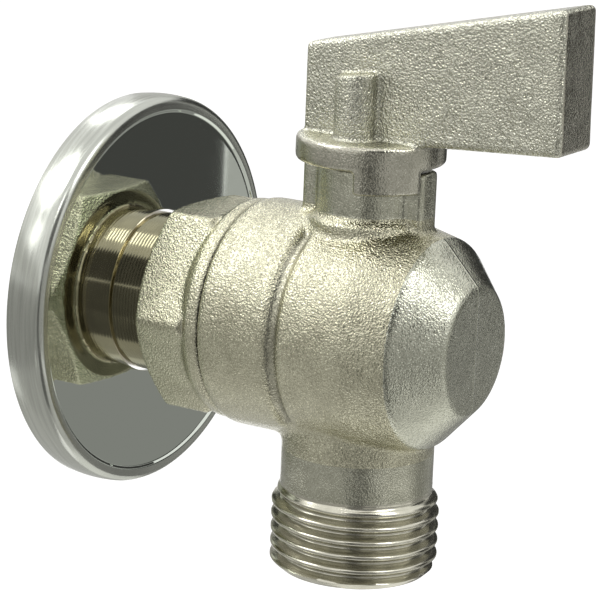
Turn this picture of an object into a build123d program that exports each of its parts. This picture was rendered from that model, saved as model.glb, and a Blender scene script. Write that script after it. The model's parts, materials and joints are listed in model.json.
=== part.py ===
from build123d import *
import os
from math import acos, asin, cos, pi, sin, tan

# Angle ball valve with a wall rosette. Millimetres, +Z up, +X from the wall into the room.
# The origin is where the inlet axis meets the wall. Each piece is drawn about the ball's centre,
# where the inlet axis crosses the axis of stem and outlet, and then set off from the wall.

# Standard pipe thread G 1/2, drawn as a plain cylinder at its outer diameter
THREAD_R = 20.955 / 2
THREAD_CHAMFER = 1.0

# Lengths along the inlet axis, from the wall
THREAD_IN_WALL = 9.0
ROSETTE_DEPTH = 5.2
NECK_SHOWN = 5.3
HEX_LENGTH = 8.4
FLANGE_LENGTH = 1.75
BODY_REACH = 15.15

# Wall rosette, pressed from sheet
ROSETTE_R = 25.3
ROSETTE_SHEET = 0.7
ROSETTE_EDGE_R = 1.1
ROSETTE_BEAD = 0.5
ROSETTE_STEP = 0.3
ROSETTE_SKIRT_FLARE = 0.15
ROSETTE_HOLE_CLEARANCE = 0.3
ROSETTE_BEAD_ROUND = 0.25
ROSETTE_BACK_ROUND = 0.2

# Inlet connector, whose thread runs out just past the wall into a plain turned neck
THREAD_PAST_WALL = 0.5
NECK_UNDERCUT = 0.2775
NECK_RUNOUT = 0.4
HEX_FLATS = 25.0
HEX_CORNER_ROUND = 0.9
HEX_CHAMFER_ANGLE = 28.0
HEX_FACE_INSET = 0.4
FLANGE_SETBACK = 0.15
FLANGE_EDGE = 0.35
FLANGE_BLEND = 0.6
SPIGOT_R = 11.0
SPIGOT_CLEARANCE = 0.05
NOSE_CLEARANCE = 0.2
NOSE_CHAMFER = 0.6
WATERWAY_R = 7.0

# Body, as wide as the hexagon over its corners. Lengths along the inlet axis count from the ball's centre.
BARREL_R = HEX_FLATS / 2 / cos(pi / 6)
BARREL_BEVEL_LENGTH = 0.7
BARREL_BEVEL_DROP = 0.25
GROOVE_FROM_CENTRE = 5.6
GROOVE_WIDTH = 2.2
GROOVE_DEPTH = 0.6
GROOVE_FLANK = 0.75
TAPER_FROM_CENTRE = 4.5
TAPER_ROUND = 9.0
CREASE_FROM_CENTRE = 10.7
CREASE_DROP = 1.45
CREASE_ROUND = 0.8
END_FROM_CENTRE = 15.7
END_FACE_R = 7.7
END_EDGE_ROUND = 0.5
MOUTH_EDGE_ROUND = 0.15

# Outlet
OUTLET_NECK_R = 9.5
OUTLET_LENGTH = 15.87
OUTLET_THREAD_LENGTH = 10.7
OUTLET_RUNOUT = 0.8
OUTLET_FILLET = 0.9

# Stem neck on the body and its stop lugs
STEM_ROOT_R = 7.2
STEM_ROOT_SINK = 0.23
STEM_LEDGE_RISE = 0.7
STEM_NECK_R = 6.3
STEM_NECK_HEIGHT = 6.7
STEM_ROOT_FILLET = 0.45
LUG_R = 8.5
LUG_HALF_WIDTH = 2.1
LUG_TOP_DROP = 0.1
LUG_EDGE = 0.4
SADDLE_MIN_RISE = 0.5

# Ball, seats and chamber
BALL_R = 9.5
BALL_PORT_R = 5.5
CHAMBER_CLEARANCE = 0.5
SEAT_BACK = 9.4
SEAT_FRONT = 6.4
SEAT_SIDE_CLEARANCE = 0.1
SEAT_BALL_GAP = 0.1
BLIND_POCKET_DEPTH = 2.2

# Seal between the connector's flange and the body
SEAL_WIDTH = 1.25
SEAL_THICKNESS = 1.2
SEAL_CLEARANCE = 0.05
SEAL_EDGE = 0.2

# Stem and its seals
STEM_R = 3.95
STEM_BORE_CLEARANCE = 0.05
STEM_SHOULDER_R = 5.3
STEM_SHOULDER_GAP = 0.2
STEM_SHOULDER_THICKNESS = 1.6
STEM_SHOULDER_CHAMFER = 0.3
WASHER_THICKNESS = 0.6
WASHER_CLEARANCE = 0.05
TANG_THICKNESS = 4.0
TANG_LENGTH = 8.4
TANG_DEPTH = 2.6
TANG_CLEARANCE = 0.06
STEM_SQUARE = 5.0
STEM_SQUARE_LENGTH = 9.1
STEM_TOP_CHAMFER = 0.5
O_RING_SECTION = 1.6
O_RING_GROOVE_DEPTH = 1.25
O_RING_GROOVE_WIDTH = 2.0
O_RING_CLEARANCE = 0.02
O_RING_EDGE = 0.5
O_RING_UPPER_DROP = 2.9
O_RING_SPACING = 3.0

# Handle
COLLAR_R = 9.15
COLLAR_GAP = 0.3
COLLAR_THICKNESS = 3.15
COLLAR_EDGE = 0.6
TAB_DROP = 2.7
TAB_STOP_CLEARANCE = 0.25
TAB_NECK_CLEARANCE = 0.6
TAB_EDGE = 0.7
WING_BACK_REACH = 7.9
WING_REACH = 27.2
WING_BACK_HEIGHT = 10.7
WING_FRONT_RISE = 18.2
WING_BOTTOM_SLOPE = 3.6
WING_BACK_THICKNESS = 6.4
WING_FRONT_THICKNESS = 8.4
WING_END_LEAN = 0.35
WING_EDGE = 0.7
EDGE_HEIGHT_SLACK = 0.1
RIB_R = 2.6
RIB_STANDOFF = 0.9
RIB_HEIGHT = 7.85
RIB_TOP_SLOPE = 8.0
SOCKET_CLEARANCE = 0.05
SOCKET_HEADROOM = 0.3

# Set screw in the handle's far rib
GRUB_R = 1.5
GRUB_CLEARANCE = 0.05
GRUB_HEIGHT = 3.6
GRUB_SINK = 0.5
GRUB_CHAMFER = 0.25
GRUB_SOCKET_FLATS = 1.5
GRUB_SOCKET_DEPTH = 1.3

# Places worked out from the sizes above
WALL_TO_CENTRE = ROSETTE_DEPTH + NECK_SHOWN + HEX_LENGTH + FLANGE_LENGTH + BODY_REACH
NECK_R = THREAD_R - NECK_UNDERCUT
FLANGE_R = BARREL_R - BARREL_BEVEL_DROP - FLANGE_SETBACK
CHAMBER_R = BALL_R + CHAMBER_CLEARANCE
SEAT_R = CHAMBER_R - SEAT_SIDE_CLEARANCE
STEM_BORE_R = STEM_R + STEM_BORE_CLEARANCE
SHOULDER_BOTTOM = BALL_R + STEM_SHOULDER_GAP
SHOULDER_TOP = SHOULDER_BOTTOM + STEM_SHOULDER_THICKNESS
STEM_CEILING = SHOULDER_TOP + WASHER_THICKNESS + 2 * WASHER_CLEARANCE
OUTLET_DROP = BARREL_R + OUTLET_LENGTH
STEM_ROOT_TOP = BARREL_R - STEM_ROOT_SINK
STEM_NECK_TOP = STEM_ROOT_TOP + STEM_NECK_HEIGHT
STEM_SQUARE_TOP = STEM_NECK_TOP + STEM_SQUARE_LENGTH
O_RING_UPPER_Z = STEM_NECK_TOP - O_RING_UPPER_DROP
O_RING_LOWER_Z = O_RING_UPPER_Z - O_RING_SPACING
COLLAR_BOTTOM = STEM_NECK_TOP + COLLAR_GAP
COLLAR_TOP = COLLAR_BOTTOM + COLLAR_THICKNESS
RIB_TOP = COLLAR_TOP + RIB_HEIGHT
RIB_AXIS = WING_BACK_THICKNESS / 2 + RIB_STANDOFF
GRUB_Z = COLLAR_TOP + GRUB_HEIGHT


def turned(points, radii=None):
    """Solid of revolution about the inlet axis, from an outline of (x, radius) points."""
    edge = FilletPolyline(*points, radius=radii, close=True) if radii else Polyline(*points, close=True)
    return revolve(Plane.XZ * make_face(edge), axis=Axis.X)


def upright(points):
    """Solid of revolution about the stem axis, from an outline of (radius, z) points."""
    return revolve(Plane.XZ * make_face(Polyline(*points, close=True)), axis=Axis.Z)


def rod_x(radius, start, end):
    """Round bar along the inlet axis."""
    return Pos(start, 0, 0) * Rot(0, 90, 0) * Cylinder(
        radius, end - start, align=(Align.CENTER, Align.CENTER, Align.MIN)
    )


def rod_z(radius, bottom, top):
    """Round bar along the stem axis."""
    return Pos(0, 0, bottom) * Cylinder(
        radius, top - bottom, align=(Align.CENTER, Align.CENTER, Align.MIN)
    )


def block(x_range, y_range, z_range):
    """Box between two corners."""
    sizes = [high - low for low, high in (x_range, y_range, z_range)]
    return Pos(x_range[0], y_range[0], z_range[0]) * Box(*sizes, align=(Align.MIN,) * 3)


def barrel():
    """Forged barrel with its bevelled mouth, slight taper, coned shoulder and flat end."""
    points = [
        (-BODY_REACH, 0),
        (-BODY_REACH, BARREL_R - BARREL_BEVEL_DROP),
        (-BODY_REACH + BARREL_BEVEL_LENGTH, BARREL_R),
        (TAPER_FROM_CENTRE, BARREL_R),
        (CREASE_FROM_CENTRE, BARREL_R - CREASE_DROP),
        (END_FROM_CENTRE, END_FACE_R),
        (END_FROM_CENTRE, 0),
    ]
    radii = [0, MOUTH_EDGE_ROUND, BARREL_BEVEL_LENGTH, TAPER_ROUND, CREASE_ROUND, END_EDGE_ROUND, 0]
    return Rot(90, 0, 0) * turned(points, radii)


def barrel_groove():
    """Ring cut from the barrel, which stops at the two necks."""
    left = -GROOVE_FROM_CENTRE
    right = left + GROOVE_WIDTH
    floor = BARREL_R - GROOVE_DEPTH
    clear = BARREL_R + GROOVE_DEPTH
    ring = turned([
        (left - GROOVE_FLANK, clear),
        (left + GROOVE_FLANK, floor),
        (right - GROOVE_FLANK, floor),
        (right + GROOVE_FLANK, clear),
    ])
    below = rod_z(OUTLET_NECK_R + OUTLET_FILLET, -2 * BARREL_R, 0)
    above = rod_z(STEM_ROOT_R + STEM_ROOT_FILLET, 0, 2 * BARREL_R)
    return ring - below - above


def outlet():
    """Outlet neck and its thread, below the barrel."""
    thread_top = -OUTLET_DROP + OUTLET_THREAD_LENGTH
    step = THREAD_R - OUTLET_NECK_R
    return upright([
        (0, 0),
        (OUTLET_NECK_R, 0),
        (OUTLET_NECK_R, thread_top),
        (THREAD_R, thread_top - step * OUTLET_RUNOUT),
        (THREAD_R, -OUTLET_DROP + THREAD_CHAMFER),
        (THREAD_R - THREAD_CHAMFER, -OUTLET_DROP),
        (0, -OUTLET_DROP),
    ])


def stem_neck_turning():
    """Ring turned off the stem boss, which leaves the neck and the sloped ledge at its foot."""
    outer = STEM_ROOT_R + 2 * STEM_ROOT_FILLET
    return upright([
        (STEM_NECK_R, STEM_ROOT_TOP + STEM_LEDGE_RISE),
        (STEM_ROOT_R, STEM_ROOT_TOP),
        (outer, BARREL_R),
        (outer, 2 * STEM_NECK_TOP),
        (STEM_NECK_R, 2 * STEM_NECK_TOP),
    ])


def stop_lug(side):
    """Lug on the stem neck that the handle's tab runs against. side is -1 or 1."""
    ends = sorted((side * STEM_SHOULDER_R, side * LUG_R))
    bar = block(ends, (-LUG_HALF_WIDTH, LUG_HALF_WIDTH), (STEM_SHOULDER_R, STEM_NECK_TOP - LUG_TOP_DROP))
    lug = bar & rod_z(LUG_R, 0, STEM_NECK_TOP)
    outer = lug.edges().filter_by(Axis.Z).sort_by(Axis.X)
    lug = fillet(outer[-2:] if side > 0 else outer[:2], LUG_EDGE)
    return fillet(lug.faces().sort_by(Axis.Z)[-1].edges(), LUG_EDGE)


def is_saddle(edge, low, high):
    """True for the curve where a neck runs into the barrel, between two heights."""
    box = edge.bounding_box()
    wavy = box.size.Z > SADDLE_MIN_RISE and max(box.size.X, box.size.Y) > STEM_ROOT_R
    return wavy and low - SADDLE_MIN_RISE < box.min.Z and box.max.Z < high + SADDLE_MIN_RISE


def body():
    """The forging, bored for the connector, ball chamber, stem and outlet."""
    forging = barrel() + outlet()
    seam = [edge for edge in forging.edges() if is_saddle(edge, -BARREL_R, 0)]
    forging = fillet(seam, OUTLET_FILLET) + rod_z(STEM_ROOT_R, 0, STEM_NECK_TOP)
    root = [edge for edge in forging.edges() if is_saddle(edge, 0, BARREL_R)]
    forging = fillet(root, STEM_ROOT_FILLET) - stem_neck_turning() - barrel_groove()
    forging = forging + stop_lug(-1) + stop_lug(1)
    mouth_r = SPIGOT_R + SEAL_WIDTH + SEAL_CLEARANCE
    cuts = [
        rod_x(mouth_r, -BODY_REACH, -BODY_REACH + SEAL_THICKNESS + SEAL_CLEARANCE),
        rod_x(SPIGOT_R + SPIGOT_CLEARANCE, -BODY_REACH, -SEAT_BACK + NOSE_CLEARANCE),
        rod_x(CHAMBER_R, -SEAT_BACK, SEAT_BACK),
        rod_x(BALL_PORT_R, 0, SEAT_BACK + BLIND_POCKET_DEPTH),
        rod_z(WATERWAY_R, -OUTLET_DROP, 0),
        rod_z(STEM_BORE_R, 0, STEM_NECK_TOP),
        rod_z(STEM_SHOULDER_R + STEM_BORE_CLEARANCE, 0, STEM_CEILING),
    ]
    for cut in cuts:
        forging = forging - cut
    return forging


def inlet_connector():
    """Hexagon with flange, wall thread and the spigot that screws into the body."""
    flange_left = -BODY_REACH - FLANGE_LENGTH
    hex_left = flange_left - HEX_LENGTH
    thread_end = -WALL_TO_CENTRE - THREAD_IN_WALL
    thread_stop = -WALL_TO_CENTRE + THREAD_PAST_WALL
    corner_r = HEX_FLATS / 2 / cos(pi / 6)
    prism = Plane.YZ * RegularPolygon(HEX_FLATS / 2, 6, major_radius=False, rotation=0)
    prism = Pos(hex_left, 0, 0) * extrude(prism, HEX_LENGTH)
    prism = fillet(prism.edges().filter_by(Axis.X), HEX_CORNER_ROUND)
    face_r = HEX_FLATS / 2 - HEX_FACE_INSET
    chamfer_length = (corner_r - face_r) * tan(HEX_CHAMFER_ANGLE * pi / 180)
    chamfered = turned([
        (hex_left, 0),
        (hex_left, face_r),
        (hex_left + chamfer_length, corner_r),
        (flange_left - chamfer_length, corner_r),
        (flange_left, face_r),
        (flange_left, 0),
    ])
    hexagon = prism & chamfered
    turned_part = turned([
        (thread_end, WATERWAY_R),
        (thread_end, THREAD_R - THREAD_CHAMFER),
        (thread_end + THREAD_CHAMFER, THREAD_R),
        (thread_stop, THREAD_R),
        (thread_stop + NECK_RUNOUT, NECK_R),
        (hex_left + HEX_LENGTH / 2, NECK_R),
        (flange_left - FLANGE_BLEND, FLANGE_R - FLANGE_EDGE),
        (flange_left, FLANGE_R),
        (-BODY_REACH - FLANGE_EDGE, FLANGE_R),
        (-BODY_REACH, FLANGE_R - FLANGE_EDGE),
        (-BODY_REACH, SPIGOT_R),
        (-SEAT_BACK - NOSE_CHAMFER, SPIGOT_R),
        (-SEAT_BACK, SPIGOT_R - NOSE_CHAMFER),
        (-SEAT_BACK, WATERWAY_R),
    ])
    return hexagon + turned_part - rod_x(WATERWAY_R, thread_end, -SEAT_BACK)


def body_seal_ring():
    """Flat seal in the body's mouth, closed by the connector's flange."""
    ring = rod_x(SPIGOT_R + SEAL_WIDTH, -BODY_REACH, -BODY_REACH + SEAL_THICKNESS)
    ring = ring - rod_x(SPIGOT_R + SEAL_CLEARANCE, -BODY_REACH, -BODY_REACH + SEAL_THICKNESS)
    return fillet(ring.edges(), SEAL_EDGE)


def ball():
    """Ball with an angled bore, from the inlet down to the outlet, and a slot for the stem's tang."""
    solid = Sphere(BALL_R)
    solid = solid - rod_x(BALL_PORT_R, -BALL_R, 0) - rod_z(BALL_PORT_R, -BALL_R, 0) - Sphere(BALL_PORT_R)
    half = TANG_THICKNESS / 2 + TANG_CLEARANCE
    floor = SHOULDER_BOTTOM - STEM_SHOULDER_GAP - TANG_DEPTH - TANG_CLEARANCE
    return solid - block((-half, half), (-BALL_R, BALL_R), (floor, BALL_R))


def seat(side):
    """Seat ring with a spherical lip. side is -1 at the inlet and 1 at the rear."""
    lip_r = BALL_R + SEAT_BALL_GAP
    inner_angle = asin(BALL_PORT_R / lip_r)
    outer_angle = acos(SEAT_FRONT / lip_r)
    lip = [
        (lip_r * cos(angle), lip_r * sin(angle))
        for angle in (inner_angle, (inner_angle + outer_angle) / 2, outer_angle)
    ]
    edge = ThreePointArc(*lip) + Polyline(
        lip[2], (SEAT_FRONT, SEAT_R), (SEAT_BACK, SEAT_R), (SEAT_BACK, BALL_PORT_R), lip[0]
    )
    ring = revolve(Plane.XZ * make_face(edge), axis=Axis.X)
    return ring if side > 0 else Rot(0, 0, 180) * ring


def stem():
    """Stem with tang, shoulder, two ring grooves and a square for the handle."""
    tang_z = SHOULDER_BOTTOM - STEM_SHOULDER_GAP - TANG_DEPTH
    half = TANG_THICKNESS / 2
    tang = block((-half, half), (-TANG_LENGTH / 2, TANG_LENGTH / 2), (tang_z, SHOULDER_BOTTOM))
    tang = tang & rod_z(TANG_LENGTH / 2, tang_z, SHOULDER_BOTTOM)
    points = [
        (0, SHOULDER_BOTTOM),
        (STEM_SHOULDER_R - STEM_SHOULDER_CHAMFER, SHOULDER_BOTTOM),
        (STEM_SHOULDER_R, SHOULDER_BOTTOM + STEM_SHOULDER_CHAMFER),
        (STEM_SHOULDER_R, SHOULDER_TOP),
        (STEM_R, SHOULDER_TOP),
    ]
    for centre in (O_RING_LOWER_Z, O_RING_UPPER_Z):
        low = centre - O_RING_GROOVE_WIDTH / 2
        high = centre + O_RING_GROOVE_WIDTH / 2
        floor = STEM_R - O_RING_GROOVE_DEPTH
        points += [(STEM_R, low), (floor, low), (floor, high), (STEM_R, high)]
    points += [
        (STEM_R, STEM_SQUARE_TOP - STEM_TOP_CHAMFER),
        (STEM_R - STEM_TOP_CHAMFER, STEM_SQUARE_TOP),
        (0, STEM_SQUARE_TOP),
    ]
    square_start = STEM_NECK_TOP - COLLAR_GAP
    side = STEM_SQUARE / 2
    square = block((-side, side), (-side, side), (square_start, STEM_SQUARE_TOP))
    shaft = upright(points)
    shaft = shaft - (rod_z(2 * STEM_R, square_start, STEM_SQUARE_TOP) - square)
    return shaft + tang


def stem_thrust_washer():
    """Slip washer above the stem's shoulder."""
    bottom = SHOULDER_TOP + WASHER_CLEARANCE
    top = bottom + WASHER_THICKNESS
    return rod_z(STEM_SHOULDER_R, bottom, top) - rod_z(STEM_BORE_R + STEM_BORE_CLEARANCE, bottom, top)


def stem_o_ring(centre):
    """Rubber ring, squeezed between its groove and the stem bore."""
    inner = STEM_R - O_RING_GROOVE_DEPTH + O_RING_CLEARANCE
    outer = STEM_BORE_R - O_RING_CLEARANCE
    section = Pos((inner + outer) / 2, centre) * RectangleRounded(
        outer - inner, O_RING_SECTION, O_RING_EDGE
    )
    return revolve(Plane.XZ * section, axis=Axis.Z)


def wing():
    """Wing of the handle: rising top edge, thicker towards its tip."""
    bottom_rise = tan(WING_BOTTOM_SLOPE * pi / 180)
    low_back = COLLAR_TOP - COLLAR_THICKNESS / 2
    low_front = COLLAR_TOP + (WING_REACH - COLLAR_R) * bottom_rise
    top_back = COLLAR_TOP + WING_BACK_HEIGHT
    top_front = COLLAR_TOP + WING_FRONT_RISE
    side = Plane.XZ * make_face(Polyline(
        (-WING_BACK_REACH, low_back),
        (COLLAR_R / 2, low_back),
        (COLLAR_R, COLLAR_TOP),
        (WING_REACH, low_front),
        (WING_REACH - WING_END_LEAN, top_front),
        (-WING_BACK_REACH, top_back),
        close=True,
    ))
    slab = extrude(side, WING_FRONT_THICKNESS, both=True)
    plan = make_face(Polyline(
        (-WING_BACK_REACH, -WING_BACK_THICKNESS / 2),
        (WING_REACH, -WING_FRONT_THICKNESS / 2),
        (WING_REACH, WING_FRONT_THICKNESS / 2),
        (-WING_BACK_REACH, WING_BACK_THICKNESS / 2),
        close=True,
    ))
    wedge = extrude(Pos(0, 0, COLLAR_BOTTOM) * plan, WING_FRONT_RISE * 2)
    blade = slab & wedge
    sharp = [edge for edge in blade.edges() if edge.center().Z > COLLAR_TOP - EDGE_HEIGHT_SLACK]
    return fillet(sharp, WING_EDGE)


def rib(side):
    """Round-nosed rib on the wing that houses the stem socket. side is -1 or 1."""
    bottom = COLLAR_BOTTOM + COLLAR_THICKNESS / 2
    top = RIB_TOP + COLLAR_THICKNESS
    nose = Pos(0, side * RIB_AXIS, 0) * rod_z(RIB_R, bottom, top)
    cheeks = block((-RIB_R, RIB_R), sorted((0, side * RIB_AXIS)), (bottom, top))
    lid_span = 2 * COLLAR_R
    lid = Pos(0, 0, RIB_TOP) * Rot(0, -RIB_TOP_SLOPE, 0) * Box(
        lid_span, lid_span, 2 * RIB_HEIGHT, align=(Align.CENTER, Align.CENTER, Align.MIN)
    )
    return nose + cheeks - lid


def stop_tab():
    """Tab below the collar that runs between the body's lugs."""
    reach = LUG_HALF_WIDTH + TAB_STOP_CLEARANCE
    bottom = COLLAR_BOTTOM - TAB_DROP
    top = COLLAR_BOTTOM + COLLAR_THICKNESS / 2
    ring = rod_z(COLLAR_R, bottom, top) - rod_z(STEM_NECK_R + TAB_NECK_CLEARANCE, bottom, top)
    tab = ring & block((reach, COLLAR_R), (-COLLAR_R, -reach), (bottom, top))
    tall = tab.edges().filter_by(Axis.Z)
    return fillet(tall, TAB_EDGE)


def handle():
    """One casting: collar, wing, ribs and stop tab, with the square stem socket and screw hole."""
    collar = rod_z(COLLAR_R, COLLAR_BOTTOM, COLLAR_TOP)
    collar = fillet(collar.edges(), COLLAR_EDGE)
    casting = collar + wing() + rib(-1) + rib(1) + stop_tab()
    side = STEM_SQUARE / 2 + SOCKET_CLEARANCE
    socket = block((-side, side), (-side, side), (COLLAR_BOTTOM, STEM_SQUARE_TOP + SOCKET_HEADROOM))
    hole = Pos(0, 0, GRUB_Z) * Rot(-90, 0, 0) * Cylinder(
        GRUB_R + GRUB_CLEARANCE, RIB_AXIS + 2 * RIB_R,
        align=(Align.CENTER, Align.CENTER, Align.MIN),
    )
    return casting - socket - hole


def handle_grub_screw():
    """Set screw with a hexagon socket, its tip on the stem's square."""
    tip = STEM_SQUARE / 2
    head = RIB_AXIS + RIB_R - GRUB_SINK
    screw = Cylinder(GRUB_R, head - tip, align=(Align.CENTER, Align.CENTER, Align.MIN))
    screw = chamfer(screw.edges(), GRUB_CHAMFER)
    key = RegularPolygon(GRUB_SOCKET_FLATS / 2, 6, major_radius=False)
    socket = Pos(0, 0, head - tip - GRUB_SOCKET_DEPTH) * extrude(key, GRUB_SOCKET_DEPTH)
    return Pos(0, tip, GRUB_Z) * Rot(-90, 0, 0) * (screw - socket)


def wall_rosette():
    """Pressed rosette: flared skirt, rounded front edge, a bead and a flat face with a hole."""
    wall = -WALL_TO_CENTRE
    front = wall + ROSETTE_DEPTH
    face = front - ROSETTE_STEP
    hole = THREAD_R + ROSETTE_HOLE_CLEARANCE
    rim = ROSETTE_R - ROSETTE_SKIRT_FLARE
    bead = rim - ROSETTE_EDGE_R - ROSETTE_BEAD
    sheet = ROSETTE_SHEET
    outline = [
        (wall, ROSETTE_R - sheet),
        (wall, ROSETTE_R),
        (front, rim),
        (front, bead),
        (face, bead - ROSETTE_STEP),
        (face, hole),
        (face - sheet, hole),
        (face - sheet, bead - ROSETTE_STEP),
        (front - sheet, bead),
        (front - sheet, rim - sheet),
    ]
    inner = ROSETTE_EDGE_R - sheet
    bends = [ROSETTE_BEAD_ROUND, ROSETTE_BEAD_ROUND]
    radii = [0, ROSETTE_BACK_ROUND, ROSETTE_EDGE_R, *bends, 0, 0, *bends, inner]
    return turned(outline, radii)


NODES = {
    "body": body(),
    "inlet_connector": inlet_connector(),
    "body_seal_ring": body_seal_ring(),
    "ball": ball(),
    "ball_seat_inlet": seat(-1),
    "ball_seat_rear": seat(1),
    "stem": stem(),
    "stem_thrust_washer": stem_thrust_washer(),
    "stem_o_ring_lower": stem_o_ring(O_RING_LOWER_Z),
    "stem_o_ring_upper": stem_o_ring(O_RING_UPPER_Z),
    "handle": handle(),
    "handle_grub_screw": handle_grub_screw(),
    "wall_rosette": wall_rosette(),
}

os.makedirs("parts", exist_ok=True)
for name, solid in NODES.items():
    export_step(Pos(WALL_TO_CENTRE, 0, 0) * solid, f"parts/{name}.step")
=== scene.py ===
import json
from math import ceil, cos, pi, radians, sin, tan

import bmesh
import bpy
from mathutils import Matrix, Vector


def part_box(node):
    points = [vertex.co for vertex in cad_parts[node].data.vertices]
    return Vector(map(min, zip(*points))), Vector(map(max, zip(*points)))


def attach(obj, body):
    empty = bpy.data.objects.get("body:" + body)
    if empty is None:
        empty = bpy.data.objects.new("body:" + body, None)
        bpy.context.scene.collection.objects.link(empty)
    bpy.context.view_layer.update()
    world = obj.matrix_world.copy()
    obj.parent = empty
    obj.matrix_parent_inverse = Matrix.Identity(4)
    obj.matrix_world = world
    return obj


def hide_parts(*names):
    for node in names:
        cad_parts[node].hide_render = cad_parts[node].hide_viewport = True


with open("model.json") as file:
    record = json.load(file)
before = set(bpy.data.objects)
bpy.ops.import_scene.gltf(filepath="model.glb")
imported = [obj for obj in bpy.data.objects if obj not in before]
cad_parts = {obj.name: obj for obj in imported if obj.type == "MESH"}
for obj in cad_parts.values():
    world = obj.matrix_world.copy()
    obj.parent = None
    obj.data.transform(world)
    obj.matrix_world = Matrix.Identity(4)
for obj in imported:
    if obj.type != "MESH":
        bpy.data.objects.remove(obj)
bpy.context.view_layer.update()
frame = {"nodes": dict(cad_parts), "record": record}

MM = 0.001
NODES = frame["nodes"]
MOUNTS = {mount["name"]: mount for mount in frame["record"]["mounts"]}

# Sizes taken from the frame
THREAD_R = MOUNTS["outlet_thread"]["dims"]["r_mm"] * MM
CENTRE_X = MOUNTS["outlet_thread"]["pos_m"][0]
CENTRE = Vector((CENTRE_X, 0, 0))
BODY_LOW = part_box("body")[0]
INLET_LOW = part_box("inlet_connector")[0]
ROSETTE_LOW, ROSETTE_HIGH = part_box("wall_rosette")

# Pipe thread G 1/2, with the slope and offset that round its crests and roots
THREAD_PITCH = 25.4 / 14 * MM
THREAD_DEPTH = 1.162 * MM
FLANK_SLOPE = 1.22
FLANK_OFFSET = 0.11
WATERWAY_R = 7.0 * MM
THREAD_STEPS_ROUND = 160
THREAD_STEPS_PITCH = 14
END_CHAMFER = 1.0 * MM
BORE_CHAMFER = 0.35 * MM

# Outlet and inlet ends that carry the threads
OUTLET_NECK_R = 9.5 * MM
OUTLET_CUT_Z = -19.2 * MM
OUTLET_THREAD_TOP = -19.7 * MM
INLET_NECK_R = 10.2 * MM
INLET_CUT_X = 9.9 * MM
INLET_THREAD_STOP = 0.5 * MM
CUT_TOLERANCE = MM / 1e4

# Softened castings
BODY_VOXEL = 0.32 * MM
HANDLE_VOXEL = 0.22 * MM
CONNECTOR_VOXEL = 0.24 * MM
WELD_SHARE = 0.01
SMOOTH_FACTOR = 0.5
BODY_SMOOTH_STEPS = 4
HANDLE_SMOOTH_STEPS = 6
CONNECTOR_SMOOTH_STEPS = 4
SHARP_ANGLE = radians(50)

# Order of the finishes on each piece
BODY_CAST, BODY_THREAD, BODY_GROOVE_SHADE, BODY_NECKS, BODY_CONE, BODY_JOINT_SHADE = range(6)
INLET_CAST, INLET_TURNED_SHADE, INLET_JOINT_SHADE = range(3)
HANDLE_CAST, HANDLE_COLLAR = range(2)
SHEET_FACE, SHEET_SKIRT, SHEET_INSIDE_SHADE = range(3)

# Smoother zones of the castings
STEM_NECK_FOOT = 15.2 * MM
OUTLET_NECK_TOP = -15.0 * MM
CONE_X = 46.2 * MM
HEXAGON_X = 10.4 * MM
TURNED_REACH = 0.6 * MM
TURNED_FACING = -0.9
COLLAR_TOP = 24.2 * MM
WING_END_X = 60.0 * MM
WING_END_FACING = 0.9

# Bore for the stem, which is drilled and so keeps its true radius
STEM_BORE_R = 4.0 * MM
STEM_BORE_REACH = 0.15 * MM
STEM_BORE_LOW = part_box("stem_o_ring_lower")[0][2] - BODY_VOXEL
STEM_BORE_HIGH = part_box("stem_o_ring_upper")[1][2] + BODY_VOXEL

# Groove round the barrel and joint between connector and body, both darkened with painted shade
GROOVE_X = 31.3 * MM
GROOVE_WIDTH = 2.4 * MM
GROOVE_BRINK_R = 14.15 * MM
JOINT_SHADE = 0.16 * MM
JOINT_SHADE_R = 12.5 * MM

# Rosette sheet
ROSETTE_STEPS_ROUND = 256
ROSETTE_SHEET = 0.7 * MM
ROSETTE_EDGE_R = 1.1 * MM
ROSETTE_BEAD = 0.5 * MM
ROSETTE_STEP = 0.3 * MM
ROSETTE_BULGE = 0.3 * MM
ROSETTE_BULGE_R = 12.0 * MM
ROSETTE_BULGE_SHARE = 0.45
ROSETTE_BEND_R = 0.25 * MM
ROSETTE_LIP_R = 0.06 * MM
ROSETTE_BACK_R = 0.2 * MM
ROSETTE_HOLE_R = 10.52 * MM
BEND_STEPS = 8

# Cast surfaces: mottled tone and gloss, low lumps, pits between the grains, painted shade in crevices
TONE_SPREAD = 14
TONE_STOPS = (0.35, 0.65)
GLOSS_SPREAD = 6
GLOSS_REACH = 0.04
LUMP_SIZE = 3.5 * MM
LUMP_DEPTH = 0.12 * MM
PIT_TONE = (0.82, 0.82, 0.8)
PIT_STOPS = (0.36, 0.56)
# Painted shade in hollows: how far the occlusion looks, how dark it gets, and its samples
CREVICE_SHADE_REACH = 1.2 * MM
CREVICE_SHADE_TONE = 0.2
CREVICE_SHADE_SAMPLES = 6
PARTING_HALF_WIDTH = 0.25 * MM
PARTING_HEIGHT = 0.06 * MM

# Turned surfaces, with fine lines from the tool
TURNED_TONE_SCALE = 300
TURNED_DARK = 0.82
TURNED_GLOSS = (0.7, 1.3)
LINE_DISTORTION = 2.0
LINE_DETAIL = 2.0
LINE_STRENGTH = 0.6

# Polished and buffed sheet
HAZE_SCALE = 160
HAZE_GLOSS = (0.5, 1.6)
STREAK_STRETCH = 0.04
STREAK_WIDTH = 0.5 * MM
STREAK_TONE = 0.84
STREAK_STOPS = (0.35, 0.6)
STREAK_GLOSS = (0.6, 1.4)

# Seals and rings
MOTTLE_SPREAD = 6
MOTTLE_DARK = 0.85
MOTTLE_STOPS = (0.3, 0.7)
PLAIN_STRENGTH = 0.5

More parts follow.
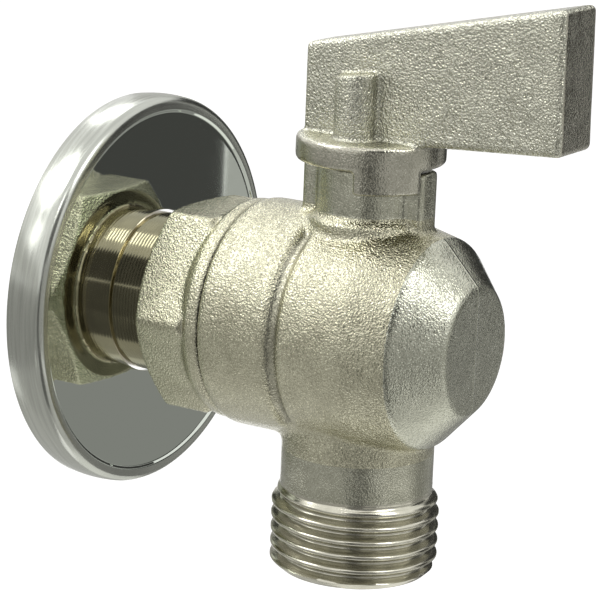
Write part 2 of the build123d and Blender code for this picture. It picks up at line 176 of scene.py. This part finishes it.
# Camera, fitted to the threads, hexagon and rosette. Angles are in degrees
CAMERA_AZIMUTH = 31.5
CAMERA_ELEVATION = 14
CAMERA_ROLL = radians(2.23)
CAMERA_PLACE = Vector((188.54, -264.33, 79.54)) * MM
CAMERA_FOCAL_PIXELS = 2568.2
CAMERA_CLIP_START = 0.01
PICTURE_PIXELS = 600
SENSOR_WIDTH = 36.0

# Surroundings and floor
SOFT_LIGHT = (0.8, 0.8, 0.78, 1)
SOFT_STRENGTH = 0.6
WHITE = (1, 1, 1, 1)
BLACK = (0, 0, 0, 1)
FLOOR_REACH = 4.0
FLOOR_LEVEL = -0.35
FLOOR_GREY = (0.8, 0.8, 0.8, 1)
FLOOR_GLOW = (0.7, 0.7, 0.7, 1)

# Cards round the valve: name, azimuth, elevation, width and height in degrees, then grey
CARD_DISTANCE = 0.24
CARD_WARMTH = 0.97
CARDS = [
    ("card_left", -102, -10, 62, 40, 0.36),
    ("card_front_left", -38, -13, 74, 36, 0.37),
    ("card_left_rise", -66, 14, 120, 12, 0.6),
    ("card_front", 8, -12, 28, 36, 0.36),
    ("card_camera", 31, -8, 22, 40, 0.12),
    ("card_above_camera", 42, 32, 46, 36, 0.1),
    ("card_low_camera", 44, -42, 34, 34, 0.14),
    ("card_right", 70, -8, 60, 38, 0.42),
    ("card_far_right", 114, -8, 34, 40, 0.52),
    ("card_low_front", -20, -54, 70, 46, 0.5),
    ("card_low_left", -108, -52, 56, 40, 0.55),
    ("card_low_right", 84, -54, 60, 44, 0.6),
    ("card_low_back", 160, -68, 70, 40, 0.95),
    ("card_dark", 141.2, 6, 27, 44, 0.065),
    ("card_dark_foot", 141, -31, 27, 32, 0.28),
    ("card_grey_strip", 161.5, -6, 13, 64, 0.46),
    ("card_dark_back", 181, 8, 36, 44, 0.05),
    ("card_back_foot", 182, -31, 40, 32, 0.28),
    ("card_far_left", -148, 6, 24, 50, 0.6),
]

# Lamps: name, azimuth and elevation in degrees, distance and size in metres, then watts
LAMPS = [
    ("key", -62, 50, 0.6, 0.24, 0.8),
    ("side_left", -130, 42, 0.6, 0.16, 0.25),
    ("front", 20, 48, 0.6, 0.1, 0.2),
    ("right", 90, 48, 0.6, 0.2, 0.58),
    ("low_left", -42, 28, 0.7, 0.14, 0.14),
]


def new_object(name, data):
    """Object with that mesh, lamp or lens, in the scene."""
    thing = bpy.data.objects.new(name, data)
    bpy.context.scene.collection.objects.link(thing)
    return thing


def finish_mesh(name, work):
    """Mesh from a bmesh, smooth but for its sharp edges."""
    bmesh.ops.recalc_face_normals(work, faces=work.faces)
    mesh = bpy.data.meshes.new(name)
    work.to_mesh(mesh)
    work.free()
    for face in mesh.polygons:
        face.use_smooth = True
    mesh.set_sharp_from_angle(angle=SHARP_ANGLE)
    return mesh


def soft_copy(node, voxel, steps):
    """Bmesh of a CAD node's form with its edges softened as on a casting."""
    mesh = NODES[node].data.copy()
    work = bmesh.new()
    work.from_mesh(mesh)
    bmesh.ops.remove_doubles(work, verts=work.verts, dist=voxel * WELD_SHARE)
    work.to_mesh(mesh)
    work.free()
    rough = new_object(node + ".soft", mesh)
    remesh = rough.modifiers.new("remesh", "REMESH")
    remesh.mode = "VOXEL"
    remesh.voxel_size = voxel
    smooth = rough.modifiers.new("smooth", "SMOOTH")
    smooth.factor = SMOOTH_FACTOR
    smooth.iterations = steps
    seen = rough.evaluated_get(bpy.context.evaluated_depsgraph_get())
    work = bmesh.new()
    work.from_mesh(seen.to_mesh())
    seen.to_mesh_clear()
    bpy.data.objects.remove(rough)
    bpy.data.meshes.remove(mesh)
    return work


def cut_away(work, place, normal):
    """Removes what lies on the normal's side of a plane and returns the open edges."""
    geometry = work.verts[:] + work.edges[:] + work.faces[:]
    bmesh.ops.bisect_plane(
        work, geom=geometry, plane_co=place, plane_no=normal, clear_outer=True, dist=CUT_TOLERANCE
    )
    return [edge for edge in work.edges if edge.is_boundary]


def add_ring(work, matrix, along, radii):
    """Adds a ring of vertices round +Z of the matrix, one for each radius."""
    ring = []
    for step, radius in enumerate(radii):
        angle = 2 * pi * step / len(radii)
        ring.append(work.verts.new(matrix @ Vector((radius * cos(angle), radius * sin(angle), along))))
    return ring


def add_band(work, first, second, mark):
    """Adds a band of faces with that mark between two rings."""
    for step in range(len(first)):
        other = (step + 1) % len(first)
        face = work.faces.new((first[step], first[other], second[other], second[step]))
        face.material_index = mark


def ring_edges(work, ring):
    """Edges along a ring of vertices."""
    return [work.edges.get(pair) for pair in zip(ring, ring[1:] + ring[:1])]


def thread_radius(turn, along):
    """Radius of a right-hand pipe thread with rounded crests, at a turn and a place along it."""
    phase = (along / THREAD_PITCH + turn) % 1.0
    flank = abs(2 * phase - 1)
    rounded = 0.5 - 0.5 * cos(pi * min(1, max(0, FLANK_SLOPE * flank - FLANK_OFFSET)))
    return THREAD_R - THREAD_DEPTH * rounded


def end_radius(turn, along, neck_r, thread_start, end):
    """Radius of a neck, of the thread that grows out of it and of the chamfer at its end."""
    radius = neck_r
    if along >= thread_start:
        blend = min(1, (along - thread_start) / THREAD_PITCH)
        radius += (thread_radius(turn, along) - neck_r) * blend
    return min(radius, THREAD_R - END_CHAMFER + (end - along))


def threaded_end(work, matrix, start, neck_r, thread_start, end, mark):
    """Adds a neck, thread, end face and bore along +Z of the matrix and returns its two open rings."""
    turns = [step / THREAD_STEPS_ROUND for step in range(THREAD_STEPS_ROUND)]
    count = ceil((end - start) / (THREAD_PITCH / THREAD_STEPS_PITCH))
    rings = []
    for row in range(count + 1):
        along = start + (end - start) * row / count
        radii = [end_radius(turn, along, neck_r, thread_start, end) for turn in turns]
        rings.append(add_ring(work, matrix, along, radii))
    bore = [
        (WATERWAY_R + BORE_CHAMFER, end),
        (WATERWAY_R, end - BORE_CHAMFER),
        (WATERWAY_R, (start + end) / 2),
        (WATERWAY_R, start),
    ]
    for radius, along in bore:
        rings.append(add_ring(work, matrix, along, [radius] * THREAD_STEPS_ROUND))
    for first, second in zip(rings, rings[1:]):
        add_band(work, first, second, mark)
    return ring_edges(work, rings[0]), ring_edges(work, rings[-1])


def split_by_radius(edges, axis_point, axis, middle):
    """Open edges nearer to the axis than the middle radius, and those farther from it."""
    near, far = [], []
    for edge in edges:
        offset = (edge.verts[0].co + edge.verts[1].co) / 2 - axis_point
        radius = (offset - axis * offset.dot(axis)).length
        (near if radius < middle else far).append(edge)
    return near, far


def join_end(work, open_edges, rings, axis_point, axis, neck_r):
    """Closes the seam between a cut casting and its threaded end."""
    near, far = split_by_radius(open_edges, axis_point, axis, (WATERWAY_R + neck_r) / 2)
    bmesh.ops.bridge_loops(work, edges=far + rings[0])
    bmesh.ops.bridge_loops(work, edges=near + rings[1])


def mark_faces(work, mark, test):
    """Marks the faces whose middle and normal pass a test."""
    work.normal_update()
    for face in work.faces:
        if test(face.calc_center_median(), face.normal):
            face.material_index = mark


def in_shaded_groove(middle, normal):
    """Whether a place on the body lies in the groove round the barrel, which gets painted shade."""
    return abs(middle.x - GROOVE_X) < GROOVE_WIDTH / 2 and middle.yz.length < GROOVE_BRINK_R


def at_shaded_joint(middle, normal):
    """Whether a place lies in the narrow joint between connector and body, which gets painted shade."""
    return abs(middle.x - BODY_LOW[0]) < JOINT_SHADE and middle.yz.length > JOINT_SHADE_R


def on_necks(middle, normal):
    """Whether a place on the body lies on the stem neck or the outlet neck."""
    return middle.z > STEM_NECK_FOOT or middle.z < OUTLET_NECK_TOP


def on_cone(middle, normal):
    """Whether a place on the body lies on the coned end."""
    return middle.x > CONE_X


def on_shaded_turned_face(middle, normal):
    """Whether a place on the connector lies on the neck or on the hexagon's turned end, which get the
    turned finish darkened with painted shade.
    """
    return middle.x < HEXAGON_X or (normal.x < TURNED_FACING and middle.x < HEXAGON_X + TURNED_REACH)


def on_collar(middle, normal):
    """Whether a place on the handle lies on the collar, the tab or the wing's end."""
    return middle.z < COLLAR_TOP or (normal.x > WING_END_FACING and middle.x > WING_END_X)


def true_stem_bore(work):
    """Puts the wall of the stem's bore back on its true radius where the rings run on it."""
    for vert in work.verts:
        offset = vert.co.xy - CENTRE.xy
        near = abs(offset.length - STEM_BORE_R) < STEM_BORE_REACH
        if near and STEM_BORE_LOW < vert.co.z < STEM_BORE_HIGH:
            offset *= STEM_BORE_R / offset.length
            vert.co.x, vert.co.y = CENTRE_X + offset.x, offset.y


def make_body():
    """Forged body with its outlet thread."""
    work = soft_copy("body", BODY_VOXEL, BODY_SMOOTH_STEPS)
    true_stem_bore(work)
    mark_faces(work, BODY_GROOVE_SHADE, in_shaded_groove)
    mark_faces(work, BODY_NECKS, on_necks)
    mark_faces(work, BODY_CONE, on_cone)
    mark_faces(work, BODY_JOINT_SHADE, at_shaded_joint)
    cut = Vector((CENTRE_X, 0, OUTLET_CUT_Z))
    open_edges = cut_away(work, cut, Vector((0, 0, -1)))
    matrix = Matrix.Translation(CENTRE) @ Matrix.Rotation(pi, 4, "X")
    start = -OUTLET_CUT_Z + BODY_VOXEL
    rings = threaded_end(
        work, matrix, start, OUTLET_NECK_R, -OUTLET_THREAD_TOP, -BODY_LOW[2], BODY_THREAD
    )
    join_end(work, open_edges, rings, cut, Vector((0, 0, 1)), OUTLET_NECK_R)
    return new_object("body_forging", finish_mesh("body_forging", work))


def make_connector():
    """Hexagonal inlet end with its turned neck and wall thread."""
    work = soft_copy("inlet_connector", CONNECTOR_VOXEL, CONNECTOR_SMOOTH_STEPS)
    mark_faces(work, INLET_TURNED_SHADE, on_shaded_turned_face)
    mark_faces(work, INLET_JOINT_SHADE, at_shaded_joint)
    cut = Vector((INLET_CUT_X, 0, 0))
    open_edges = cut_away(work, cut, Vector((-1, 0, 0)))
    matrix = Matrix.Rotation(-pi / 2, 4, "Y")
    start = -INLET_CUT_X + CONNECTOR_VOXEL
    rings = threaded_end(
        work, matrix, start, INLET_NECK_R, -INLET_THREAD_STOP, -INLET_LOW[0], INLET_TURNED_SHADE
    )
    join_end(work, open_edges, rings, cut, Vector((1, 0, 0)), INLET_NECK_R)
    return new_object("inlet_hexagon", finish_mesh("inlet_hexagon", work))


def make_handle():
    """Cast wing handle with soft edges."""
    work = soft_copy("handle", HANDLE_VOXEL, HANDLE_SMOOTH_STEPS)
    mark_faces(work, HANDLE_COLLAR, on_collar)
    return new_object("wing_handle", finish_mesh("wing_handle", work))


def bend(corner, before, after, radius):
    """Points of a rounded corner between two straight runs of an outline."""
    to_before = (before - corner).normalized()
    to_after = (after - corner).normalized()
    half = to_before.angle(to_after) / 2
    reach = radius / tan(half)
    centre = corner + (to_before + to_after).normalized() * radius / sin(half)
    first = corner + to_before * reach - centre
    last = corner + to_after * reach - centre
    sweep = first.angle_signed(last)
    return [
        centre + Matrix.Rotation(-sweep * step / BEND_STEPS, 2) @ first for step in range(BEND_STEPS + 1)
    ]


def rosette_corners():
    """Corners of the sheet's section on its outer and its inner side: place along X, radius, rounding."""
    wall, front = ROSETTE_LOW[0], ROSETTE_HIGH[0]
    outside = ROSETTE_HIGH[2]
    rim = outside - ROSETTE_BULGE
    crown = wall + (front - wall) * ROSETTE_BULGE_SHARE
    bead = rim - ROSETTE_EDGE_R - ROSETTE_BEAD
    dish = bead - ROSETTE_STEP
    face = front - ROSETTE_STEP
    sheet = ROSETTE_SHEET
    outer = [
        (wall, rim - sheet, 0),
        (wall, rim, ROSETTE_BACK_R),
        (crown, outside, ROSETTE_BULGE_R),
        (front, rim, ROSETTE_EDGE_R),
        (front, bead, ROSETTE_BEND_R),
        (face, dish, ROSETTE_BEND_R),
        (face, dish - 2 * ROSETTE_BEND_R, 0),
        (face, ROSETTE_HOLE_R + ROSETTE_BEND_R, 0),
        (face, ROSETTE_HOLE_R, ROSETTE_LIP_R),
    ]
    inner = [
        (face - sheet, ROSETTE_HOLE_R, ROSETTE_LIP_R),
        (face - sheet, dish, ROSETTE_BEND_R),
        (front - sheet, bead, ROSETTE_BEND_R),
        (front - sheet, rim - sheet, ROSETTE_EDGE_R - sheet),
        (crown, outside - sheet, ROSETTE_BULGE_R),
    ]
    return outer, inner


def make_rosette():
    """Pressed and polished sheet rosette, turned from its section."""
    outer, inner = rosette_corners()
    corners = outer + inner
    skirt_r = ROSETTE_HIGH[2] - ROSETTE_BULGE - ROSETTE_EDGE_R
    outline, marks = [], []
    for index, (along, radius, rounding) in enumerate(corners):
        here = Vector((along, radius))
        before = Vector(corners[index - 1][:2])
        after = Vector(corners[(index + 1) % len(corners)][:2])
        points = bend(here, before, after, rounding) if rounding else [here]
        outline += points
        for point in points:
            side = SHEET_SKIRT if point.y > skirt_r else SHEET_FACE
            marks.append(side if index < len(outer) else SHEET_INSIDE_SHADE)
    work = bmesh.new()
    round_x = Matrix(((0, 0, 1), (1, 0, 0), (0, 1, 0)))
    rings = [add_ring(work, round_x, point.x, [point.y] * ROSETTE_STEPS_ROUND) for point in outline]
    for first, second, mark in zip(rings, rings[1:] + rings[:1], marks):
        add_band(work, first, second, mark)
    return new_object("rosette_sheet", finish_mesh("rosette_sheet", work))


def new_material(name, metallic=0.0):
    """Node material, its tree and its shader."""
    material = bpy.data.materials.new(name)
    material.use_nodes = True
    tree = material.node_tree
    shader = tree.nodes["Principled BSDF"]
    shader.inputs["Metallic"].default_value = metallic
    return material, tree, shader


def noise(tree, scale, detail):
    """Noise over the object's own coordinates."""
    coordinates = tree.nodes.new("ShaderNodeTexCoord")
    texture = tree.nodes.new("ShaderNodeTexNoise")
    texture.inputs["Scale"].default_value = scale
    texture.inputs["Detail"].default_value = detail
    tree.links.new(coordinates.outputs["Object"], texture.inputs["Vector"])
    return texture


def two_tones(tree, source, stops, low, high):
    """Colour that goes from low to high between two stops of a value."""
    node = tree.nodes.new("ShaderNodeValToRGB")
    for element, place, colour in zip(node.color_ramp.elements, stops, (low, high)):
        element.position = place
        element.color = (*colour, 1)
    tree.links.new(source, node.inputs["Fac"])
    return node.outputs["Color"]


def darker(colour, share):
    """Colour with each channel brought down to a share of itself."""
    return tuple(channel * share for channel in colour)


def map_range(tree, source, low, high):
    """Value from 0..1 spread between two limits."""
    node = tree.nodes.new("ShaderNodeMapRange")
    node.inputs["To Min"].default_value = low
    node.inputs["To Max"].default_value = high
    tree.links.new(source, node.inputs["Value"])
    return node


def bump(tree, height, strength, distance, below=None):
    """Bump from a height, on top of another bump if given."""
    node = tree.nodes.new("ShaderNodeBump")
    node.inputs["Strength"].default_value = strength
    node.inputs["Distance"].default_value = distance
    tree.links.new(height, node.inputs["Height"])
    if below:
        tree.links.new(below.outputs["Normal"], node.inputs["Normal"])
    return node


def tint(tree, colour, factor):
    """Colour multiplied by a value or by another colour."""
    node = tree.nodes.new("ShaderNodeVectorMath")
    node.operation = "MULTIPLY"
    tree.links.new(colour, node.inputs[0])
    tree.links.new(factor, node.inputs[1])
    return node.outputs["Vector"]


def painted_crevice_shade(tree, colour):
    """Colour with painted shade: narrow hollows darkened by ambient occlusion, where light hardly comes.
    """
    occlusion = tree.nodes.new("ShaderNodeAmbientOcclusion")
    occlusion.samples = CREVICE_SHADE_SAMPLES
    occlusion.inputs["Distance"].default_value = CREVICE_SHADE_REACH
    shade = map_range(tree, occlusion.outputs["AO"], CREVICE_SHADE_TONE, 1.0)
    return tint(tree, colour, shade.outputs["Result"])


def parting_line(tree, below):
    """Bump with the faint ridge that the two forging dies leave in the plane between them."""
    coordinates = tree.nodes.new("ShaderNodeTexCoord")
    split = tree.nodes.new("ShaderNodeSeparateXYZ")
    tree.links.new(coordinates.outputs["Object"], split.inputs["Vector"])
    away = tree.nodes.new("ShaderNodeMath")
    away.operation = "ABSOLUTE"
    tree.links.new(split.outputs["Y"], away.inputs[0])
    ridge = map_range(tree, away.outputs["Value"], 1.0, 0.0)
    ridge.inputs["From Max"].default_value = PARTING_HALF_WIDTH
    return bump(tree, ridge.outputs["Result"], 1.0, PARTING_HEIGHT, below)


def vary_roughness(tree, shader, source, low, high):
    """Feeds the shader's roughness from a value spread between two limits."""
    spread = map_range(tree, source, low, high)
    tree.links.new(spread.outputs["Result"], shader.inputs["Roughness"])


def cast_nickel(name, light, dark, grain, depth, roughness, parted=False):
    """Nickel over a blasted casting: grain of that size and depth, mottled in tone and gloss, with painted
    shade in its hollows.
    """
    material, tree, shader = new_material(name, metallic=1.0)
    tone = noise(tree, 1 / (TONE_SPREAD * grain), detail=4)
    gloss = noise(tree, 1 / (GLOSS_SPREAD * grain), detail=3)
    lumps = noise(tree, 1 / LUMP_SIZE, detail=3)
    coarse = noise(tree, 1 / grain, detail=1)
    colours = two_tones(tree, tone.outputs["Fac"], TONE_STOPS, dark, light)
    pits = two_tones(tree, coarse.outputs["Fac"], PIT_STOPS, PIT_TONE, WHITE[:3])
    # Painted shade: the mottled colour is darkened in hollows by ambient occlusion
    with_painted_shade = painted_crevice_shade(tree, tint(tree, colours, pits))
    tree.links.new(with_painted_shade, shader.inputs["Base Color"])
    vary_roughness(tree, shader, gloss.outputs["Fac"], roughness - GLOSS_REACH, roughness + GLOSS_REACH)
    low = bump(tree, lumps.outputs["Fac"], 1.0, LUMP_DEPTH)
    if parted:
        low = parting_line(tree, low)
    top = bump(tree, coarse.outputs["Fac"], 1.0, depth, low)
    tree.links.new(top.outputs["Normal"], shader.inputs["Normal"])
    return material


def machined(name, colour, roughness, line_scale, depth, axis):
    """Turned metal with fine lines round an axis, named X, Y or Z."""
    material, tree, shader = new_material(name, metallic=1.0)
    tone = noise(tree, TURNED_TONE_SCALE, detail=3)
    colours = two_tones(tree, tone.outputs["Fac"], TONE_STOPS, darker(colour, TURNED_DARK), colour)
    tree.links.new(colours, shader.inputs["Base Color"])
    coordinates = tree.nodes.new("ShaderNodeTexCoord")
    lines = tree.nodes.new("ShaderNodeTexWave")
    lines.bands_direction = axis
    lines.inputs["Scale"].default_value = line_scale
    lines.inputs["Distortion"].default_value = LINE_DISTORTION
    lines.inputs["Detail"].default_value = LINE_DETAIL
    tree.links.new(coordinates.outputs["Object"], lines.inputs["Vector"])
    low, high = (roughness * share for share in TURNED_GLOSS)
    vary_roughness(tree, shader, lines.outputs["Fac"], low, high)
    ridges = bump(tree, lines.outputs["Fac"], LINE_STRENGTH, depth)
    tree.links.new(ridges.outputs["Normal"], shader.inputs["Normal"])
    return material


def polished(name, colour, roughness):
    """Mirror-polished sheet with faint buffing in its gloss."""
    material, tree, shader = new_material(name, metallic=1.0)
    shader.inputs["Base Color"].default_value = (*colour, 1)
    haze = noise(tree, HAZE_SCALE, detail=4)
    low, high = (roughness * share for share in HAZE_GLOSS)
    vary_roughness(tree, shader, haze.outputs["Fac"], low, high)
    return material


def buffed(name, colour, roughness):
    """Polished sheet with buffing streaks round the X axis."""
    material, tree, shader = new_material(name, metallic=1.0)
    coordinates = tree.nodes.new("ShaderNodeTexCoord")
    stretch = tree.nodes.new("ShaderNodeVectorMath")
    stretch.operation = "MULTIPLY"
    stretch.inputs[1].default_value = (1, STREAK_STRETCH, STREAK_STRETCH)
    tree.links.new(coordinates.outputs["Object"], stretch.inputs[0])
    streaks = noise(tree, 1 / STREAK_WIDTH, detail=3)
    tree.links.new(stretch.outputs["Vector"], streaks.inputs["Vector"])
    colours = two_tones(tree, streaks.outputs["Fac"], STREAK_STOPS, darker(colour, STREAK_TONE), colour)
    tree.links.new(colours, shader.inputs["Base Color"])
    low, high = (roughness * share for share in STREAK_GLOSS)
    vary_roughness(tree, shader, streaks.outputs["Fac"], low, high)
    return material


def plain(name, colour, roughness, grain, depth):
    """Dull non-metal with a little mottling and a fine surface."""
    material, tree, shader = new_material(name)
    tone = noise(tree, grain / MOTTLE_SPREAD, detail=3)
    colours = two_tones(tree, tone.outputs["Fac"], MOTTLE_STOPS, darker(colour, MOTTLE_DARK), colour)
    tree.links.new(colours, shader.inputs["Base Color"])
    shader.inputs["Roughness"].default_value = roughness
    fine = noise(tree, grain, detail=2)
    surface = bump(tree, fine.outputs["Fac"], PLAIN_STRENGTH, depth)
    tree.links.new(surface.outputs["Normal"], shader.inputs["Normal"])
    return material


# Castings: name, light tone, dark tone, grain, depth, roughness
NICKEL = cast_nickel("nickel_forging", (0.68, 0.66, 0.5), (0.58, 0.56, 0.42), 0.24 * MM, 0.16 * MM, 0.07)
ZINC = cast_nickel("nickel_casting", (0.73, 0.725, 0.605), (0.63, 0.625, 0.52), 0.26 * MM, 0.21 * MM, 0.06)
CONE = cast_nickel(
    "nickel_cone", (0.65, 0.655, 0.545), (0.575, 0.58, 0.48), 0.22 * MM, 0.08 * MM, 0.1, parted=True
)
FINE = cast_nickel("nickel_fine", (0.69, 0.685, 0.56), (0.57, 0.565, 0.455), 0.2 * MM, 0.06 * MM, 0.13)
SATIN = cast_nickel("nickel_satin", (0.66, 0.64, 0.54), (0.54, 0.525, 0.435), 0.2 * MM, 0.05 * MM, 0.13)
# Near-black nickel at the joint: painted shade of the narrow gap between connector and body
JOINT_PAINTED_SHADE = cast_nickel("nickel_joint_painted_shade", (0.1, 0.095, 0.08), (0.07, 0.066, 0.056), 0.2 * MM, 0.05 * MM, 0.3)
# Darker nickel in the groove: painted shade of the groove's floor and flanks
GROOVE_PAINTED_SHADE = cast_nickel(
    "nickel_groove_painted_shade", (0.54, 0.525, 0.41), (0.47, 0.455, 0.355), 0.24 * MM, 0.1 * MM, 0.16
)

# Turned pieces: name, tone, roughness, scale and depth of the lines, the axis they lie along
THREAD = machined("nickel_thread", (0.68, 0.66, 0.55), 0.2, 900, 0.008 * MM, "Z")
# The neck's brass tone is darkened with painted shade for the gap between rosette and hexagon
NECK_PAINTED_SHADE = machined("turned_neck_painted_shade", (0.46, 0.41, 0.29), 0.12, 700, 0.009 * MM, "X")
BRASS = machined("turned_brass", (0.72, 0.5, 0.2), 0.25, 900, 0.01 * MM, "Z")
STEEL = machined("screw_steel", (0.2, 0.2, 0.21), 0.35, 900, 0.01 * MM, "Y")

# Sheet and ball: name, tone, roughness
STAINLESS = polished("polished_stainless", (0.7, 0.74, 0.67), 0.03)
CHROME = polished("ball_chrome", (0.78, 0.79, 0.8), 0.06)
SKIRT = buffed("buffed_stainless", (0.57, 0.585, 0.53), 0.22)
# Back of the sheet: dull raw stainless, darkened with painted shade for the unlit hollow inside the
# rosette
RAW_SHEET_PAINTED_SHADE = buffed("raw_stainless_painted_shade", (0.42, 0.42, 0.4), 0.38)

# Seals: name, tone, roughness, grain scale, depth
PTFE = plain("seat_ptfe", (0.86, 0.86, 0.83), 0.4, 2000, 0.01 * MM)
FIBRE = plain("seal_fibre", (0.4, 0.2, 0.13), 0.8, 2600, 0.03 * MM)
RUBBER = plain("ring_rubber", (0.025, 0.025, 0.026), 0.5, 2600, 0.01 * MM)

# Finishes of the CAD pieces that stay
CAD_FINISHES = {
    "body_seal_ring": FIBRE,
    "ball": CHROME,
    "ball_seat_inlet": PTFE,
    "ball_seat_rear": PTFE,
    "stem": BRASS,
    "stem_thrust_washer": PTFE,
    "stem_o_ring_lower": RUBBER,
    "stem_o_ring_upper": RUBBER,
    "handle_grub_screw": STEEL,
}

# Finishes of the pieces made here
BODY_FINISHES = {
    BODY_CAST: NICKEL,
    BODY_THREAD: THREAD,
    BODY_GROOVE_SHADE: GROOVE_PAINTED_SHADE,
    BODY_NECKS: FINE,
    BODY_CONE: CONE,
    BODY_JOINT_SHADE: JOINT_PAINTED_SHADE,
}
INLET_FINISHES = {INLET_CAST: NICKEL, INLET_TURNED_SHADE: NECK_PAINTED_SHADE, INLET_JOINT_SHADE: JOINT_PAINTED_SHADE}
HANDLE_FINISHES = {HANDLE_CAST: ZINC, HANDLE_COLLAR: SATIN}
SHEET_FINISHES = {SHEET_FACE: STAINLESS, SHEET_SKIRT: SKIRT, SHEET_INSIDE_SHADE: RAW_SHEET_PAINTED_SHADE}


def dress_frame():
    """Gives the CAD pieces that stay their finishes."""
    for node, material in CAD_FINISHES.items():
        for place in NODES[node].material_slots:
            place.material = material


def place_piece(piece, node, body, finishes):
    """Gives a piece its finishes and puts it on its body in place of its CAD node."""
    for mark in sorted(finishes):
        piece.data.materials.append(finishes[mark])
    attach(piece, body)
    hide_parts(node)


def direction(azimuth, elevation):
    """Unit vector from the valve towards an azimuth and elevation in degrees."""
    azimuth, elevation = radians(azimuth), radians(elevation)
    return Vector((sin(azimuth) * cos(elevation), -cos(azimuth) * cos(elevation), sin(elevation)))


def aim(thing, azimuth, elevation, distance):
    """Puts a card or lamp at a distance from the valve, facing it."""
    outward = direction(azimuth, elevation)
    thing.location = CENTRE + outward * distance
    thing.rotation_mode = "QUATERNION"
    thing.rotation_quaternion = outward.to_track_quat("Z", "Y")


def make_camera():
    """Camera at the photograph's place."""
    back = direction(CAMERA_AZIMUTH, CAMERA_ELEVATION)
    right = Vector((cos(radians(CAMERA_AZIMUTH)), sin(radians(CAMERA_AZIMUTH)), 0))
    up = back.cross(right)
    rolled_right = right * cos(CAMERA_ROLL) + up * sin(CAMERA_ROLL)
    rolled_up = up * cos(CAMERA_ROLL) - right * sin(CAMERA_ROLL)
    turn = Matrix((rolled_right, rolled_up, back)).transposed()
    lens = bpy.data.cameras.new("camera")
    lens.sensor_fit = "HORIZONTAL"
    lens.sensor_width = SENSOR_WIDTH
    lens.lens = CAMERA_FOCAL_PIXELS * SENSOR_WIDTH / PICTURE_PIXELS
    lens.clip_start = CAMERA_CLIP_START
    camera = new_object("camera", lens)
    camera.matrix_world = Matrix.Translation(CAMERA_PLACE) @ turn.to_4x4()
    bpy.context.scene.camera = camera


def shown_rays(tree):
    """1 for rays that come from the camera or by way of metal or glass, 0 for the light itself."""
    path = tree.nodes.new("ShaderNodeLightPath")
    shown = path.outputs["Is Camera Ray"]
    for kind in ("Is Glossy Ray", "Is Transmission Ray"):
        either = tree.nodes.new("ShaderNodeMath")
        either.operation = "MAXIMUM"
        tree.links.new(shown, either.inputs[0])
        tree.links.new(path.outputs[kind], either.inputs[1])
        shown = either.outputs["Value"]
    return shown


def background(tree, colour, strength):
    """Background shader of the world with that colour and strength."""
    node = tree.nodes.new("ShaderNodeBackground")
    node.inputs["Color"].default_value = colour
    node.inputs["Strength"].default_value = strength
    return node.outputs["Background"]


def make_world():
    """White surroundings where seen or reflected, soft grey light elsewhere."""
    world = bpy.data.worlds.new("studio")
    bpy.context.scene.world = world
    world.use_nodes = True
    tree = world.node_tree
    tree.nodes.clear()
    output = tree.nodes.new("ShaderNodeOutputWorld")
    mix = tree.nodes.new("ShaderNodeMixShader")
    tree.links.new(shown_rays(tree), mix.inputs["Fac"])
    tree.links.new(background(tree, SOFT_LIGHT, SOFT_STRENGTH), mix.inputs[1])
    tree.links.new(background(tree, WHITE, 1.0), mix.inputs[2])
    tree.links.new(mix.outputs["Shader"], output.inputs["Surface"])


def rectangle(name, half_width, half_height, level=0):
    """Flat mesh that faces +Z."""
    corners = [(-1, -1), (1, -1), (1, 1), (-1, 1)]
    mesh = bpy.data.meshes.new(name)
    mesh.from_pydata([(x * half_width, y * half_height, level) for x, y in corners], [], [range(4)])
    return mesh


def card_material(name, grey):
    """Even tone for a card."""
    material, _, shader = new_material(name)
    shader.inputs["Base Color"].default_value = BLACK
    shader.inputs["Roughness"].default_value = 1.0
    shader.inputs["Specular IOR Level"].default_value = 0.0
    shader.inputs["Emission Color"].default_value = (grey, grey, grey * CARD_WARMTH, 1)
    shader.inputs["Emission Strength"].default_value = 1.0
    return material


def make_card(name, azimuth, elevation, width, height, grey):
    """Card that faces the valve and shows only in its reflections. Angles are in degrees."""
    half_width, half_height = (CARD_DISTANCE * tan(radians(angle / 2)) for angle in (width, height))
    card = new_object(name, rectangle(name, half_width, half_height))
    card.data.materials.append(card_material(name, grey))
    aim(card, azimuth, elevation, CARD_DISTANCE)
    card.visible_camera = False
    card.visible_diffuse = False
    card.visible_shadow = False
    card.visible_transmission = False


def make_light(name, azimuth, elevation, distance, size, power):
    """Soft square lamp aimed at the valve."""
    lamp = bpy.data.lights.new(name, "AREA")
    lamp.shape = "SQUARE"
    lamp.size = size
    lamp.energy = power
    aim(new_object(name, lamp), azimuth, elevation, distance)


def make_floor():
    """Pale floor well below the valve, white where seen, which keeps a soft shadow."""
    piece = new_object("floor", rectangle("floor", FLOOR_REACH, FLOOR_REACH, FLOOR_LEVEL))
    material, tree, shader = new_material("floor_white")
    shader.inputs["Base Color"].default_value = FLOOR_GREY
    shader.inputs["Roughness"].default_value = 1.0
    shader.inputs["Emission Color"].default_value = FLOOR_GLOW
    tree.links.new(shown_rays(tree), shader.inputs["Emission Strength"])
    piece.data.materials.append(material)


dress_frame()
place_piece(make_body(), "body", "valve_body", BODY_FINISHES)
place_piece(make_connector(), "inlet_connector", "valve_body", INLET_FINISHES)
place_piece(make_handle(), "handle", "lever", HANDLE_FINISHES)
place_piece(make_rosette(), "wall_rosette", "rosette", SHEET_FINISHES)

make_camera()
make_world()
make_floor()
for lamp in LAMPS:
    make_light(*lamp)
for card in CARDS:
    make_card(*card)

bpy.context.scene.view_settings.view_transform = "Standard"
